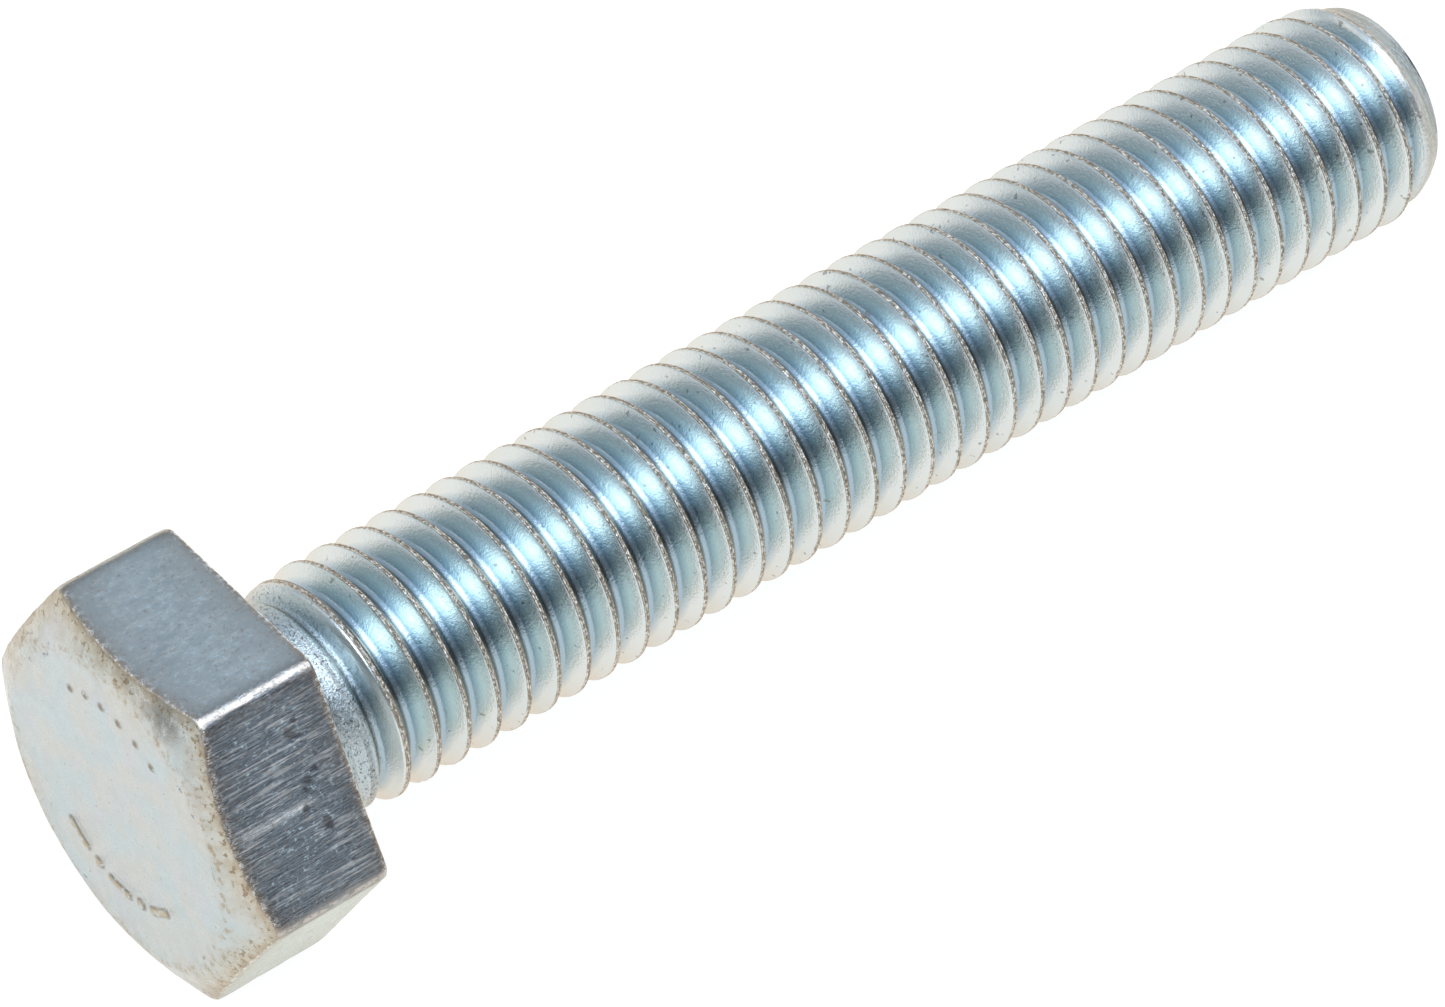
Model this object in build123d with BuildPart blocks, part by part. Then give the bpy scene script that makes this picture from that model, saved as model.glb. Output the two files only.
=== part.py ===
"""Hex bolt M12 x 1.75 x 70, threaded up to the head, forged in one piece.

Frame, in millimetres: the bolt's axis is X and its tip points along +X. The origin is the
centre of the bearing face, the flat underside of the head. One wrench flat faces up, along
+Z, so two opposite corners of the head lie along Y.
"""

import os
from math import cos, radians, tan

from build123d import *

# Driving dimensions
NOMINAL_D = 12.0
PITCH = 1.75
LENGTH = 70.5  # bearing face to tip: nominally 70, with the plus side of its tolerance
HEAD_HEIGHT = 7.35  # nominally 7.5, with the minus side of its tolerance
ACROSS_FLATS = 18.8
CORNER_RADIUS = 0.8  # rounding of the six long corner edges
HEAD_FACE_D = 16.6  # the flat circle on the outer face, inside the corner chamfer
HEAD_CHAMFER_ANGLE = 26.0

# Thread: ISO metric profile, right-handed, with the clearance of a plated external thread
THREAD_CLEARANCE = 0.1  # on diameter
FLANK_ANGLE = 30.0
CREST_D = NOMINAL_D - THREAD_CLEARANCE
PITCH_D = CREST_D - 0.6495 * PITCH
ROOT_D = CREST_D - 1.2269 * PITCH
ROOT_RADIUS = 0.1443 * PITCH
CUTTER_D = CREST_D + 0.2  # the groove's cutter stands clear of the crests

# Run-out under the head: the groove deepens over one turn, and the crests rise out of the
# plain neck over the turn and a half from there
NECK_D = 10.9
NECK_FILLET = 0.6
GROOVE_START = PITCH
GROOVE_END = 2 * PITCH
CREST_START = 1.5 * PITCH
CREST_END = 3 * PITCH

# Tip: a long chamfer, so the last turn of the thread is not fully formed
TIP_FACE_D = 10.2
TIP_CHAMFER_LENGTH = 2.1

# Raised marks on the outer face: a plain row of bars and pips, and a ring of faint pips
MARK_HEIGHT = 0.12
BAR_LENGTH = 1.8
BAR_WIDTH = 0.45
BAR_COUNT = 3
PIP_D = 0.6
MARK_RING_RADIUS = 5.3
MARK_STEP = 18.0  # degrees from a bar to the next pip
FAINT_PIP_D = 0.4
FAINT_PIP_COUNT = 6
FAINT_RING_RADIUS = 6.2
FAINT_STEP = 12.0


def flank_half_width(diameter):
    """Half the groove's width along the axis where its flanks cross this diameter."""
    return PITCH / 4 + (diameter - PITCH_D) / 2 * tan(radians(FLANK_ANGLE))


def mark_row(radius, middle_angle, count, step):
    """Places for a row of marks along a ring, centred on middle_angle."""
    spread = (count - 1) * step
    return PolarLocations(radius, count, middle_angle - spread / 2, spread, endpoint=True)


# One turn of the rounded 60 degree thread groove, from the +Z side round to it again
with BuildPart() as groove_turn:
    with BuildLine() as groove_path:
        Helix(pitch=PITCH, height=PITCH, radius=ROOT_D / 2, direction=(1, 0, 0))
    arc_end = ROOT_RADIUS * cos(radians(FLANK_ANGLE))
    arc_top = (ROOT_D + ROOT_RADIUS) / 2
    cutter_top = flank_half_width(CUTTER_D)
    with BuildSketch(Plane.XZ):
        with BuildLine():
            ThreePointArc((-arc_end, arc_top), (0, ROOT_D / 2), (arc_end, arc_top))
            Polyline(
                (arc_end, arc_top),
                (cutter_top, CUTTER_D / 2),
                (-cutter_top, CUTTER_D / 2),
                (-arc_end, arc_top),
            )
        make_face()
    sweep(path=groove_path.line, is_frenet=True)


with BuildPart() as hex_bolt:
    # Head: a hexagon with rounded corners, from the outer face to the bearing face
    with BuildSketch(Plane.YZ.offset(-HEAD_HEIGHT)):
        RegularPolygon(radius=ACROSS_FLATS / 2, side_count=6, major_radius=False)
        fillet(vertices(), radius=CORNER_RADIUS)
    extrude(amount=HEAD_HEIGHT)

    # Corner chamfer: the hexagon is trimmed to a cone that starts at the face circle
    chamfer_reach = ACROSS_FLATS / 4
    chamfer_drop = chamfer_reach * tan(radians(HEAD_CHAMFER_ANGLE))
    with BuildSketch(Plane.XZ):
        with BuildLine():
            Polyline(
                (-HEAD_HEIGHT, 0),
                (-HEAD_HEIGHT, HEAD_FACE_D / 2),
                (-HEAD_HEIGHT + chamfer_drop, HEAD_FACE_D / 2 + chamfer_reach),
                (0, HEAD_FACE_D / 2 + chamfer_reach),
                (0, 0),
                close=True,
            )
        make_face()
    revolve(axis=Axis.X, mode=Mode.INTERSECT)

    # Shank: the rolled blank's outline, from inside the head to the chamfered tip
    with BuildSketch(Plane.XZ):
        with BuildLine():
            Polyline(
                (-HEAD_HEIGHT / 2, 0),
                (-HEAD_HEIGHT / 2, NECK_D / 2),
                (CREST_START, NECK_D / 2),
                (CREST_END, CREST_D / 2),
                (LENGTH - TIP_CHAMFER_LENGTH, CREST_D / 2),
                (LENGTH, TIP_FACE_D / 2),
                (LENGTH, 0),
                close=True,
            )
        make_face()
    revolve(axis=Axis.X)
    neck_edge = edges().filter_by(GeomType.CIRCLE).filter_by_position(Axis.X, -0.01, 0.01)
    fillet(neck_edge, radius=NECK_FILLET)

    # Thread: the groove runs the whole length and leaves past the tip
    turns = round((LENGTH - GROOVE_START) / PITCH) + 1
    with Locations([(GROOVE_START + turn * PITCH, 0, 0) for turn in range(turns)]):
        add(groove_turn.part, mode=Mode.SUBTRACT)

    # Run-out: a core that tapers down from the neck fills the groove's first turn
    with BuildSketch(Plane.XZ):
        with BuildLine():
            Polyline(
                (0, 0),
                (0, NECK_D / 2),
                (GROOVE_START, NECK_D / 2),
                (GROOVE_END, ROOT_D / 2),
                (GROOVE_END, 0),
                close=True,
            )
        make_face()
    revolve(axis=Axis.X)

    # Raised marks on the outer face
    with BuildSketch(Plane.YZ.offset(-HEAD_HEIGHT)):
        with mark_row(MARK_RING_RADIUS, -90, BAR_COUNT, 2 * MARK_STEP):
            SlotOverall(BAR_LENGTH, BAR_WIDTH, rotation=90)
        with mark_row(MARK_RING_RADIUS, -90, BAR_COUNT - 1, 2 * MARK_STEP):
            Circle(PIP_D / 2)
        with mark_row(FAINT_RING_RADIUS, 90, FAINT_PIP_COUNT, FAINT_STEP):
            Circle(FAINT_PIP_D / 2)
    extrude(amount=-MARK_HEIGHT)

hex_bolt.part.label = "hex_bolt"

os.makedirs("parts", exist_ok=True)
export_step(hex_bolt.part, "parts/hex_bolt.step")
print(f"across corners {hex_bolt.part.bounding_box().size.Y:.2f}, turns cut {turns}")
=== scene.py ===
"""Looks of the zinc-plated hex bolt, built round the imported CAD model.

The bolt is one forging, so it is one closed mesh: a helical grid for the thread, and rings
round the axis for the head. Both are worked out in millimetres along the CAD's own axes (X
along the thread to the tip, Z up) and turned into metres when the mesh is made.
"""

import math

import bmesh
import bpy
import numpy as np
from mathutils import Matrix, Vector, noise


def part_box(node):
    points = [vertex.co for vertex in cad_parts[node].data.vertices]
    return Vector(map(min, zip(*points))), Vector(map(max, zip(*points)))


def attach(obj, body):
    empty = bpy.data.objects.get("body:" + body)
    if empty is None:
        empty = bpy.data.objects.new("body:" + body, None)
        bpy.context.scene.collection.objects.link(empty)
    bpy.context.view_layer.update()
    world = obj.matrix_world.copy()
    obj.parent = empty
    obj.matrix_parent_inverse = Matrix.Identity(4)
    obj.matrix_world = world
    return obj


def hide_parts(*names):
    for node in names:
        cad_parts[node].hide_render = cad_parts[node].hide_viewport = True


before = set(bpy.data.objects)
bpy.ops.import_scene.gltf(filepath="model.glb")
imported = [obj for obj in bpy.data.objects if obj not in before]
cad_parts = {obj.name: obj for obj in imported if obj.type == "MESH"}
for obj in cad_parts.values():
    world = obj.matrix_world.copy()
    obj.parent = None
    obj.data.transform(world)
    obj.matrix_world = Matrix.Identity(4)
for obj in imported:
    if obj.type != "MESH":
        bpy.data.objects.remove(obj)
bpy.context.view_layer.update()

MM = 0.001
NODE = "hex_bolt"

# ---------------------------------------------------------------- sizes, in millimetres

low, high = (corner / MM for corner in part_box(NODE))

PITCH = 1.75
CREST_R = 5.95
FLANK_ANGLE = math.radians(30)
ROOT_R = CREST_R - 1.2269 * PITCH / 2
ROOT_ROUND = 0.1443 * PITCH
NECK_R = 5.45
NECK_FILLET = 0.6
GROOVE_START = PITCH
GROOVE_END = 2 * PITCH
CREST_START = 1.5 * PITCH
CREST_END = 3 * PITCH

TIP_X = high.x
TIP_R = 5.1
TIP_CHAMFER_START = TIP_X - 2.1
TIP_CHAMFER_SLOPE = (CREST_R - TIP_R) / (TIP_X - TIP_CHAMFER_START)

MARK_HEIGHT = 0.12
FACE_X = low.x + MARK_HEIGHT  # the outer face, under its raised marks
FLAT_R = high.z
FACE_R = 8.3
CHAMFER_SLOPE = math.tan(math.radians(26))
CORNER_ROUND = 0.8

# A narrow band of the neck joins the head's mesh, which ends here, to the thread's
NECK_END = 0.9
NECK_CUT = 1.0

# ---------------------------------------------------------------- small helpers

FULL_TURN = 2 * math.pi
SECTOR = math.radians(60)  # one side of the hexagon
HALF_SECTOR = SECTOR / 2


def smooth_min(a, b, soft):
    """The lower of two heights, with the corner between them rounded over about soft."""
    blend = np.clip(0.5 + 0.5 * (b - a) / soft, 0, 1)
    return b + (a - b) * blend - soft * blend * (1 - blend)


def smooth_max(a, b, soft):
    return -smooth_min(-a, -b, soft)


def smooth_step(low_edge, high_edge, value):
    t = np.clip((value - low_edge) / (high_edge - low_edge), 0, 1)
    return t * t * (3 - 2 * t)


def fade(distance, width):
    """1 where the distance is 0, falling off to nothing over about twice the width."""
    return np.exp(-((distance / width) ** 2))


def noise_at(points, scale, offset=0.0):
    """Smooth noise in -1..1 at points (n, 3); scale holds the size of a lump along X, Y, Z."""
    spots = points / np.asarray(scale, float) + offset
    return np.array([noise.noise(Vector(spot)) for spot in spots])


def lumps_at(points, scale, offset=0.0):
    """The same noise in 0..1."""
    return 0.5 + 0.5 * noise_at(points, scale, offset)


# ---------------------------------------------------------------- thread

AROUND = 90
# The rolled crest: rounded shoulders, with a shallow seam along the middle
SHOULDER = 0.09
SEAM_DEPTH = 0.035
SEAM_HALF_WIDTH = 0.06
# Profile nodes over half a pitch, from the groove's middle to the crest's: places along the axis
ROOT_NODES = (0.0, 0.12, 0.22)
FLANK_NODES = (0.45, 0.65)
CREST_NODES = (0.70, 0.745, 0.785, 0.83)
# How softly the profile blends into the thinner blank and the last groove (a crease), and into
# the neck's core and the tip's chamfer (a rounded edge)
CREASE = 0.05
ROUNDED = 0.08
# The last groove isn't pressed in fully, because the blank is thinner there: it gets shallow
# between these distances from the tip, down to this depth
FILL_START = 1.5
FILL_END = 0.8
LAST_GROOVE_DEPTH = 0.1


def thread_profile(along):
    """Radius of the fully formed thread at a distance along the axis from a groove's middle."""
    a = np.abs((along + PITCH / 2) % PITCH - PITCH / 2)
    arc_end = ROOT_ROUND * math.cos(FLANK_ANGLE)
    in_arc = np.minimum(a, arc_end)
    root = ROOT_R + ROOT_ROUND - np.sqrt(ROOT_ROUND**2 - in_arc**2)
    flank = ROOT_R + ROOT_ROUND / 2 + (a - arc_end) / math.tan(FLANK_ANGLE)
    radius = smooth_min(np.where(a < arc_end, root, flank), CREST_R, SHOULDER)
    seam = 1 - smooth_step(0.0, SEAM_HALF_WIDTH, PITCH / 2 - a)
    return radius - SEAM_DEPTH * seam


def shank_radius(x, along):
    """The thread's radius, faded into the neck under the head and cut by the tip's chamfer."""
    deepen = np.clip((x - GROOVE_START) / (GROOVE_END - GROOVE_START), 0, 1)
    core = NECK_R + (ROOT_R - NECK_R) * deepen
    rise = np.clip((x - CREST_START) / (CREST_END - CREST_START), 0, 1)
    blank = NECK_R + (CREST_R - NECK_R) * rise
    tip = CREST_R - (x - TIP_CHAMFER_START) * TIP_CHAMFER_SLOPE
    radius = smooth_min(thread_profile(along), blank, CREASE)
    radius = smooth_max(radius, core, ROUNDED)
    filled = smooth_step(TIP_X - FILL_START, TIP_X - FILL_END, x)
    last_crest = np.minimum(tip, CREST_R)
    last_groove = last_crest - LAST_GROOVE_DEPTH - (CREST_R - ROOT_R) * (1 - filled)
    radius = smooth_max(radius, last_groove, CREASE)
    return smooth_min(radius, tip, ROUNDED)


def thread_grid():
    """Points of the helical grid: one row per profile node, one column per step round."""
    half = ROOT_NODES + FLANK_NODES + CREST_NODES
    other_half = [PITCH - a for a in reversed(half[1:])]
    nodes = np.array(list(half) + [PITCH / 2] + other_half)
    turns = math.ceil(TIP_X / PITCH) + 2
    along = np.concatenate([nodes + turn * PITCH for turn in range(-1, turns)])
    per_turn = len(nodes)
    step = np.arange(AROUND) / AROUND
    x = along[:, None] + PITCH * step[None, :]
    # the groove's middle crosses the top of the bolt at whole pitches
    angle = math.pi / 2 + FULL_TURN * step
    radius = shank_radius(x, np.broadcast_to(along[:, None], x.shape))
    points = np.stack(
        [x, radius * np.cos(angle)[None, :], radius * np.sin(angle)[None, :]], axis=-1
    )
    return points, per_turn


def thread_faces(rows, per_turn):
    """Quads of the helical grid; the last column joins the first one a turn further on."""
    faces = []
    for row in range(rows - 1):
        for column in range(AROUND):
            here = row * AROUND + column
            below = here + AROUND
            if column < AROUND - 1:
                faces.append((here, below, below + 1, here + 1))
            elif row + 1 + per_turn < rows:
                wrap = (row + per_turn) * AROUND
                faces.append((here, below, wrap + AROUND, wrap))
    return faces


ON_PLANE = 1e-3  # a point this near to a plane lies in it


def open_loop(shank, x):
    """Boundary edges lying in the plane across the axis at x."""
    return [
        edge
        for edge in shank.edges
        if edge.is_boundary and all(abs(vert.co.x - x) < ON_PLANE for vert in edge.verts)
    ]


def thread_part():
    """The threaded shank as a bmesh in millimetres, cut square at the neck and at the tip."""
    points, per_turn = thread_grid()
    mesh = bpy.data.meshes.new("thread_grid")
    mesh.from_pydata(points.reshape(-1, 3), [], thread_faces(len(points), per_turn))
    shank = bmesh.new()
    shank.from_mesh(mesh)
    bpy.data.meshes.remove(mesh)
    for x, outward in ((NECK_CUT, -1), (TIP_X, 1)):
        bmesh.ops.bisect_plane(
            shank,
            geom=shank.verts[:] + shank.edges[:] + shank.faces[:],
            dist=1e-4,
            plane_co=(x, 0, 0),
            plane_no=(outward, 0, 0),
            clear_outer=True,
        )
    close_tip(shank)
    return shank


# The tip's end face, from its rim inward: share of the rim's radius, depth behind the end
TIP_RINGS = ((0.98, 0.0), (0.94, 0.0), (0.8, 0.02), (0.55, 0.05), (0.25, 0.06))


def close_tip(shank):
    """Closes the cut at the tip with rings that run into a point on the axis."""
    loop = open_loop(shank, TIP_X)
    for share, depth in TIP_RINGS:
        grown = bmesh.ops.extrude_edge_only(shank, edges=loop)["geom"]
        loop = [item for item in grown if isinstance(item, bmesh.types.BMEdge)]
        for vert in {vert for edge in loop for vert in edge.verts}:
            shrink = TIP_R * share / math.hypot(vert.co.y, vert.co.z)
            vert.co = (TIP_X - depth, vert.co.y * shrink, vert.co.z * shrink)
    rim = list({vert for edge in loop for vert in edge.verts})
    bmesh.ops.pointmerge(shank, verts=rim, merge_co=(TIP_X - TIP_RINGS[-1][1], 0, 0))


# ---------------------------------------------------------------- head

FLAT_COLUMNS = 42
CORNER_COLUMNS = 10
# Half the angle that a corner's rounding takes up, seen from the axis
CORNER_START = (FLAT_R - CORNER_ROUND) * math.tan(HALF_SECTOR)
CORNER_SPAN = HALF_SECTOR - math.atan2(CORNER_START, FLAT_R)


def outline_radius(angle):
    """Distance from the axis to the hexagon with its rounded corners; angle is from +Y to +Z."""
    to_corner = np.abs((angle + HALF_SECTOR) % SECTOR - HALF_SECTOR)
    flat = FLAT_R / np.cos(HALF_SECTOR - to_corner)
    centre = (FLAT_R - CORNER_ROUND) / math.cos(HALF_SECTOR)
    reach = CORNER_ROUND**2 - (centre * np.sin(to_corner)) ** 2
    corner = centre * np.cos(to_corner) + np.sqrt(np.maximum(reach, 0))
    return np.where(to_corner < CORNER_SPAN, corner, flat)


def head_angles():
    """Directions of the head's columns, closer together round the six corners."""
    angles = []
    for sector in range(6):
        middle = SECTOR * sector
        start, end = middle + CORNER_SPAN, middle + SECTOR - CORNER_SPAN
        corner = np.linspace(middle - CORNER_SPAN, start, CORNER_COLUMNS, endpoint=False)
        angles.append(corner)
        angles.append(np.linspace(start, end, FLAT_COLUMNS, endpoint=False))
    return np.concatenate(angles)


def bend(before, corner, after, reach, steps):
    """Points that round a corner of the profile, from reach before it to reach after it."""
    back = before - corner
    ahead = after - corner
    start = corner + reach * back / np.linalg.norm(back, axis=-1, keepdims=True)
    end = corner + reach * ahead / np.linalg.norm(ahead, axis=-1, keepdims=True)
    t = np.linspace(0, 1, steps)[:, None, None]
    return (1 - t) ** 2 * start + 2 * t * (1 - t) * corner + t**2 * end


def between(start, end, steps):
    """Points between two places, without either of them."""
    t = np.linspace(0, 1, steps + 2)[1:-1, None, None]
    return start + (end - start) * t


# Rings of the outer face: first radius, last radius, and how many; and where the marks stand,
# first radius, radius they stop before, and step
INNER_RINGS = (0.5, 4.4, 8)
MARK_RINGS = (4.6, 6.75, 0.1)
OUTER_RINGS = (6.95, 7.85, 5)

# The rounded edges: how far each one reaches from its corner, and its number of rings
RIM_BEND = (0.38, 7)
TOP_BEND = (0.2, 6)
LOW_BEND = (0.14, 5)
NECK_BEND = (NECK_FILLET, 6)
# Rings across the corner chamfer, the wrench flats and the underside
CHAMFER_RINGS = 3
FLAT_RINGS = 24
UNDERSIDE_RINGS = 6
# How much the edges' rounding varies, as a share, and how far the face's rim wanders
BEND_VARIES = 0.45
RIM_WANDERS = 0.12


def face_radii():
    """Radii of the outer face's rings, closer together where the marks stand."""
    return np.concatenate(
        [np.linspace(*INNER_RINGS), np.arange(*MARK_RINGS), np.linspace(*OUTER_RINGS)]
    )


def head_profile(angles):
    """Rings of the head from the outer face to the neck: (ring, column, (x, radius))."""
    outline = outline_radius(angles)
    columns = len(angles)

    def place(x, radius):
        return np.stack([np.full(columns, x) + 0 * radius, radius + np.zeros(columns)], -1)

    around = np.stack([np.cos(angles), np.sin(angles), 0 * angles], -1) * FLAT_R
    uneven = 1 + BEND_VARIES * noise_at(around, (0.8, 0.8, 1), 5.1)[:, None]
    face_middle = place(FACE_X, 0)
    rim = place(FACE_X, FACE_R + RIM_WANDERS * noise_at(around, (2.6, 2.6, 1), 9.3))
    edge_x = FACE_X + (outline - FACE_R) * CHAMFER_SLOPE
    top_edge = np.stack([edge_x, outline], -1)
    low_edge = place(0, outline)
    neck_corner = place(0, NECK_R)
    neck_end = place(NECK_END, NECK_R)

    rim_bend = bend(face_middle, rim, top_edge, RIM_BEND[0] * uneven, RIM_BEND[1])
    top_bend = bend(rim, top_edge, low_edge, TOP_BEND[0] * uneven, TOP_BEND[1])
    low_bend = bend(top_edge, low_edge, neck_corner, LOW_BEND[0] * uneven, LOW_BEND[1])
    neck_bend = bend(low_edge, neck_corner, neck_end, *NECK_BEND)
    flat_rings = [place(FACE_X, radius) for radius in face_radii()]
    return np.concatenate(
        [
            np.stack(flat_rings),
            rim_bend,
            between(rim_bend[-1], top_bend[0], CHAMFER_RINGS),
            top_bend,
            between(top_bend[-1], low_bend[0], FLAT_RINGS),
            low_bend,
            between(low_bend[-1], neck_bend[0], UNDERSIDE_RINGS),
            neck_bend,
            neck_end[None],
        ]
    )


# ---------------------------------------------------------------- surface detail of the head

# Raised marks: ring radius, middle direction, count, step, half length, half width, share of
# the full height
BARS = (5.3, -90, 3, 36, 0.9, 0.225, 1.0)
PIPS = (5.3, -90, 2, 36, 0.3, 0.3, 1.0)
FAINT_PIPS = (6.2, 90, 6, 12, 0.2, 0.2, 0.5)
MARK_EDGE = 0.1  # a mark's side rises over this distance each side of its outline

# How strongly each wrench flat is scored along the axis, and how strongly its colour is darkened
# as a painted dark reflection, by its direction in degrees
SCORING = {30: 0.45, 90: 0.12, 150: 1.0, 210: 0.3, 270: 0.6, 330: 0.85}
# The broad streak: its flat, how far it lies from that flat's middle, its half width, and
# where it fades in and out along the axis
SLIDE_FLAT = math.radians(150)
SLIDE_ACROSS = 0.4
SLIDE_HALF_WIDTH = 0.17
SLIDE_FROM = (-6.7, -6.2)
SLIDE_TO = (-1.9, -3.0)
# The torn line: its place along the axis, how far it wanders in long and short waves, and its
# half width
TEAR_X = -2.0
TEAR_WANDERS = (1.1, 0.5)
TEAR_HALF_WIDTH = 0.24
# How deep the head's surface is worn or pressed in
FACE_WAVES = 0.03
FACE_RIPPLE = 0.012
SCORES = 0.016
TEARS = 0.08
DENTS = 0.02
FLAT_WAVES = 0.012
EDGE_WEAR = 0.055
CORNER_WEAR_SHARE = 0.25
EDGE_WEAR_WIDTH = 0.35
CORNER_WEAR_WIDTH = 0.3

FAR_AWAY = 9.0  # stands for the distance to an edge from places that aren't on the head
SEAT_X = 0.05  # everything on the head lies behind this


def mark_height(y, z):
    """Height of the raised marks at places on the outer face."""
    height = np.zeros_like(y)
    for ring, middle, count, step, half_length, half_width, share in (BARS, PIPS, FAINT_PIPS):
        for index in range(count):
            turn = math.radians(middle + (index - (count - 1) / 2) * step)
            across = y * math.cos(turn) + z * math.sin(turn) - ring
            along = -y * math.sin(turn) + z * math.cos(turn)
            over = np.maximum(np.abs(along) - (half_length - half_width), 0)
            gap = np.hypot(over, across) - half_width
            height = np.maximum(height, share * (1 - smooth_step(-MARK_EDGE, MARK_EDGE, gap)))
    return height * MARK_HEIGHT


def flat_scoring(angles):
    """Share of scoring round the head, blended over the corners."""
    degrees = np.degrees(angles) % 360
    share = np.zeros_like(degrees)
    for middle, strength in SCORING.items():
        apart = np.abs((degrees - middle + 180) % 360 - 180)
        share += strength * (1 - smooth_step(27.5, 32.5, apart))
    return share


def on_flat(x, radius, outline):
    """1 on the wrench flats and 0 on the head's two ends."""
    return smooth_step(0.55, 0.2, outline - radius) * (x > FACE_X) * (x < SEAT_X)


def rim_gap(x, radius, outline):
    """Distance to the edges where the wrench flats meet the chamfer and the underside."""
    edge_x = FACE_X + (outline - FACE_R) * CHAMFER_SLOPE
    gap = np.minimum(np.hypot(x - edge_x, radius - outline), np.hypot(x, radius - outline))
    return np.where(x < SEAT_X, gap, FAR_AWAY)


def corner_gap(x, radius, angles, outline):
    """Distance to the six long corners of the head."""
    to_corner = (angles + HALF_SECTOR) % SECTOR - HALF_SECTOR
    gap = np.hypot(radius * to_corner, np.maximum(outline - radius - 0.3, 0)) - 0.05
    return np.where(x < SEAT_X, np.maximum(gap, 0), FAR_AWAY)


def slide_mark(points):
    """The one broad light streak on a wrench flat, rubbed along the axis."""
    x, y, z = points.T
    across = -y * math.sin(SLIDE_FLAT) + z * math.cos(SLIDE_FLAT)
    outward = y * math.cos(SLIDE_FLAT) + z * math.sin(SLIDE_FLAT)
    ends = smooth_step(*SLIDE_FROM, x) * smooth_step(*SLIDE_TO, x)
    on_its_flat = outward > 7
    return fade(across - SLIDE_ACROSS, SLIDE_HALF_WIDTH) * ends * on_its_flat


def torn(points):
    """Where the trimming die tore the metal: a jagged line across the scores."""
    line = TEAR_X + TEAR_WANDERS[0] * noise_at(points, (30, 1.3, 1.3), 4.4)
    line += TEAR_WANDERS[1] * noise_at(points, (30, 0.35, 0.35), 2.4)
    patch = smooth_step(-0.1, 0.25, noise_at(points, (1.2, 0.5, 0.5), 6.2))
    return fade(points[:, 0] - line, TEAR_HALF_WIDTH) * patch


def roughen_head(points):
    """Moves the head's points inward for dents, scores and torn metal, and raises the marks."""
    x, y, z = points.T
    radius = np.hypot(y, z)
    angles = np.arctan2(z, y)
    outline = outline_radius(angles)
    out = points.copy()

    # outer face: slightly hollow and uneven, with the marks standing on it
    on_face = 1 - smooth_step(FACE_R - 0.5, FACE_R + 0.2, radius)
    on_face *= x < FACE_X + 0.01
    waves = lumps_at(points, (4, 3.1, 3.1), 3.0)
    ripple = lumps_at(points, (1, 0.8, 0.8), 8.0)
    out[:, 0] += on_face * (FACE_WAVES * waves + FACE_RIPPLE * ripple)
    out[:, 0] -= on_face * mark_height(y, z)
    out[:, 0] = np.maximum(out[:, 0], low.x)

    # wrench flats: scores along the axis, and torn patches towards the underside
    on_side = on_flat(x, radius, outline)
    share = flat_scoring(angles)
    scores = lumps_at(points, (5, 0.34, 0.34), 1.7)
    dents = smooth_step(0.35, 0.6, noise_at(points, (0.9, 0.9, 0.9), 12.5))
    sunk = on_side * (SCORES * scores * share + TEARS * torn(points) * share + DENTS * dents)
    sunk += on_side * FLAT_WAVES * lumps_at(points, (3.2, 3.2, 3.2), 2.2)

    # edges and corners: worn unevenly
    worn = fade(rim_gap(x, radius, outline), EDGE_WEAR_WIDTH)
    corner = corner_gap(x, radius, angles, outline)
    worn += CORNER_WEAR_SHARE * fade(corner, CORNER_WEAR_WIDTH)
    wear = lumps_at(points, (0.45, 0.4, 0.4), 15.2)
    wear += 0.8 * lumps_at(points, (1.3, 1.1, 1.1), 16.9)
    sunk += EDGE_WEAR * worn * wear
    shrink = 1 - sunk / np.maximum(radius, 0.1)
    out[:, 1] *= shrink
    out[:, 2] *= shrink
    return out


def head_part():
    """The head as a bmesh in millimetres, from the outer face to the cut at the neck."""
    angles = head_angles()
    columns = len(angles)
    rings = head_profile(angles)
    x, radius = rings[..., 0], rings[..., 1]
    points = np.stack([x, radius * np.cos(angles), radius * np.sin(angles)], -1)
    points = roughen_head(points.reshape(-1, 3))
    head = bmesh.new()
    verts = [head.verts.new(point) for point in points]
    for ring in range(len(rings) - 1):
        for column in range(columns):
            after = (column + 1) % columns
            corners = (
                verts[ring * columns + column],
                verts[ring * columns + after],
                verts[(ring + 1) * columns + after],
                verts[(ring + 1) * columns + column],
            )
            head.faces.new(corners)
    first = verts[:columns]
    centre = head.verts.new((sum(vert.co.x for vert in first) / columns, 0, 0))
    for column in range(columns):
        head.faces.new((centre, first[(column + 1) % columns], first[column]))
    return head


# ---------------------------------------------------------------- the whole bolt

# Small dents in the crests: how many, their range of half lengths and of depths
NICKS = 90
NICK_SEED = 11
NICK_SIZE = (0.2, 0.5)
NICK_DEPTH = (0.02, 0.07)
THREAD_RIPPLE = 0.006
# The dark lines, dirt in the seam and painted shade beside it: half widths of the one in the seam
# and the one beside it, and its offset
SEAM_LINE = 0.035
LIP_LINE = 0.05
LIP_OFFSET = 0.15
# A rubbed grey patch on the corner chamfer: direction, distance from the axis, half sizes
RUB_ANGLE = math.radians(113)
RUB_RADIUS = 9.3
RUB_SIZE = (1.3, 0.85)


# Where the masks rise and fall, in pairs of places that they rise between: along the axis from
# the bearing face, across from a crest's middle, or outward from the crests or the roots
THREAD_FROM = (1.0, 2.2)
CRESTS_FROM = (2.4, 3.4)
CREST_ACROSS = (0.14, 0.07)
TIP_SIDE_ACROSS = (0.1, 0.3)
LIP_UP_TO_CREST = (-0.5, -0.3)
DEEP_ABOVE_ROOT = (0.05, 0.45)
ROUGH_NECK_FROM = (1.0, 1.9)
ROUGH_NECK_TO = (3.4, 4.4)
DULL_TIP_FROM = (TIP_X - 1.5, TIP_X - 1.0)
RUB_FADES = (0.2, 1.3)
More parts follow.
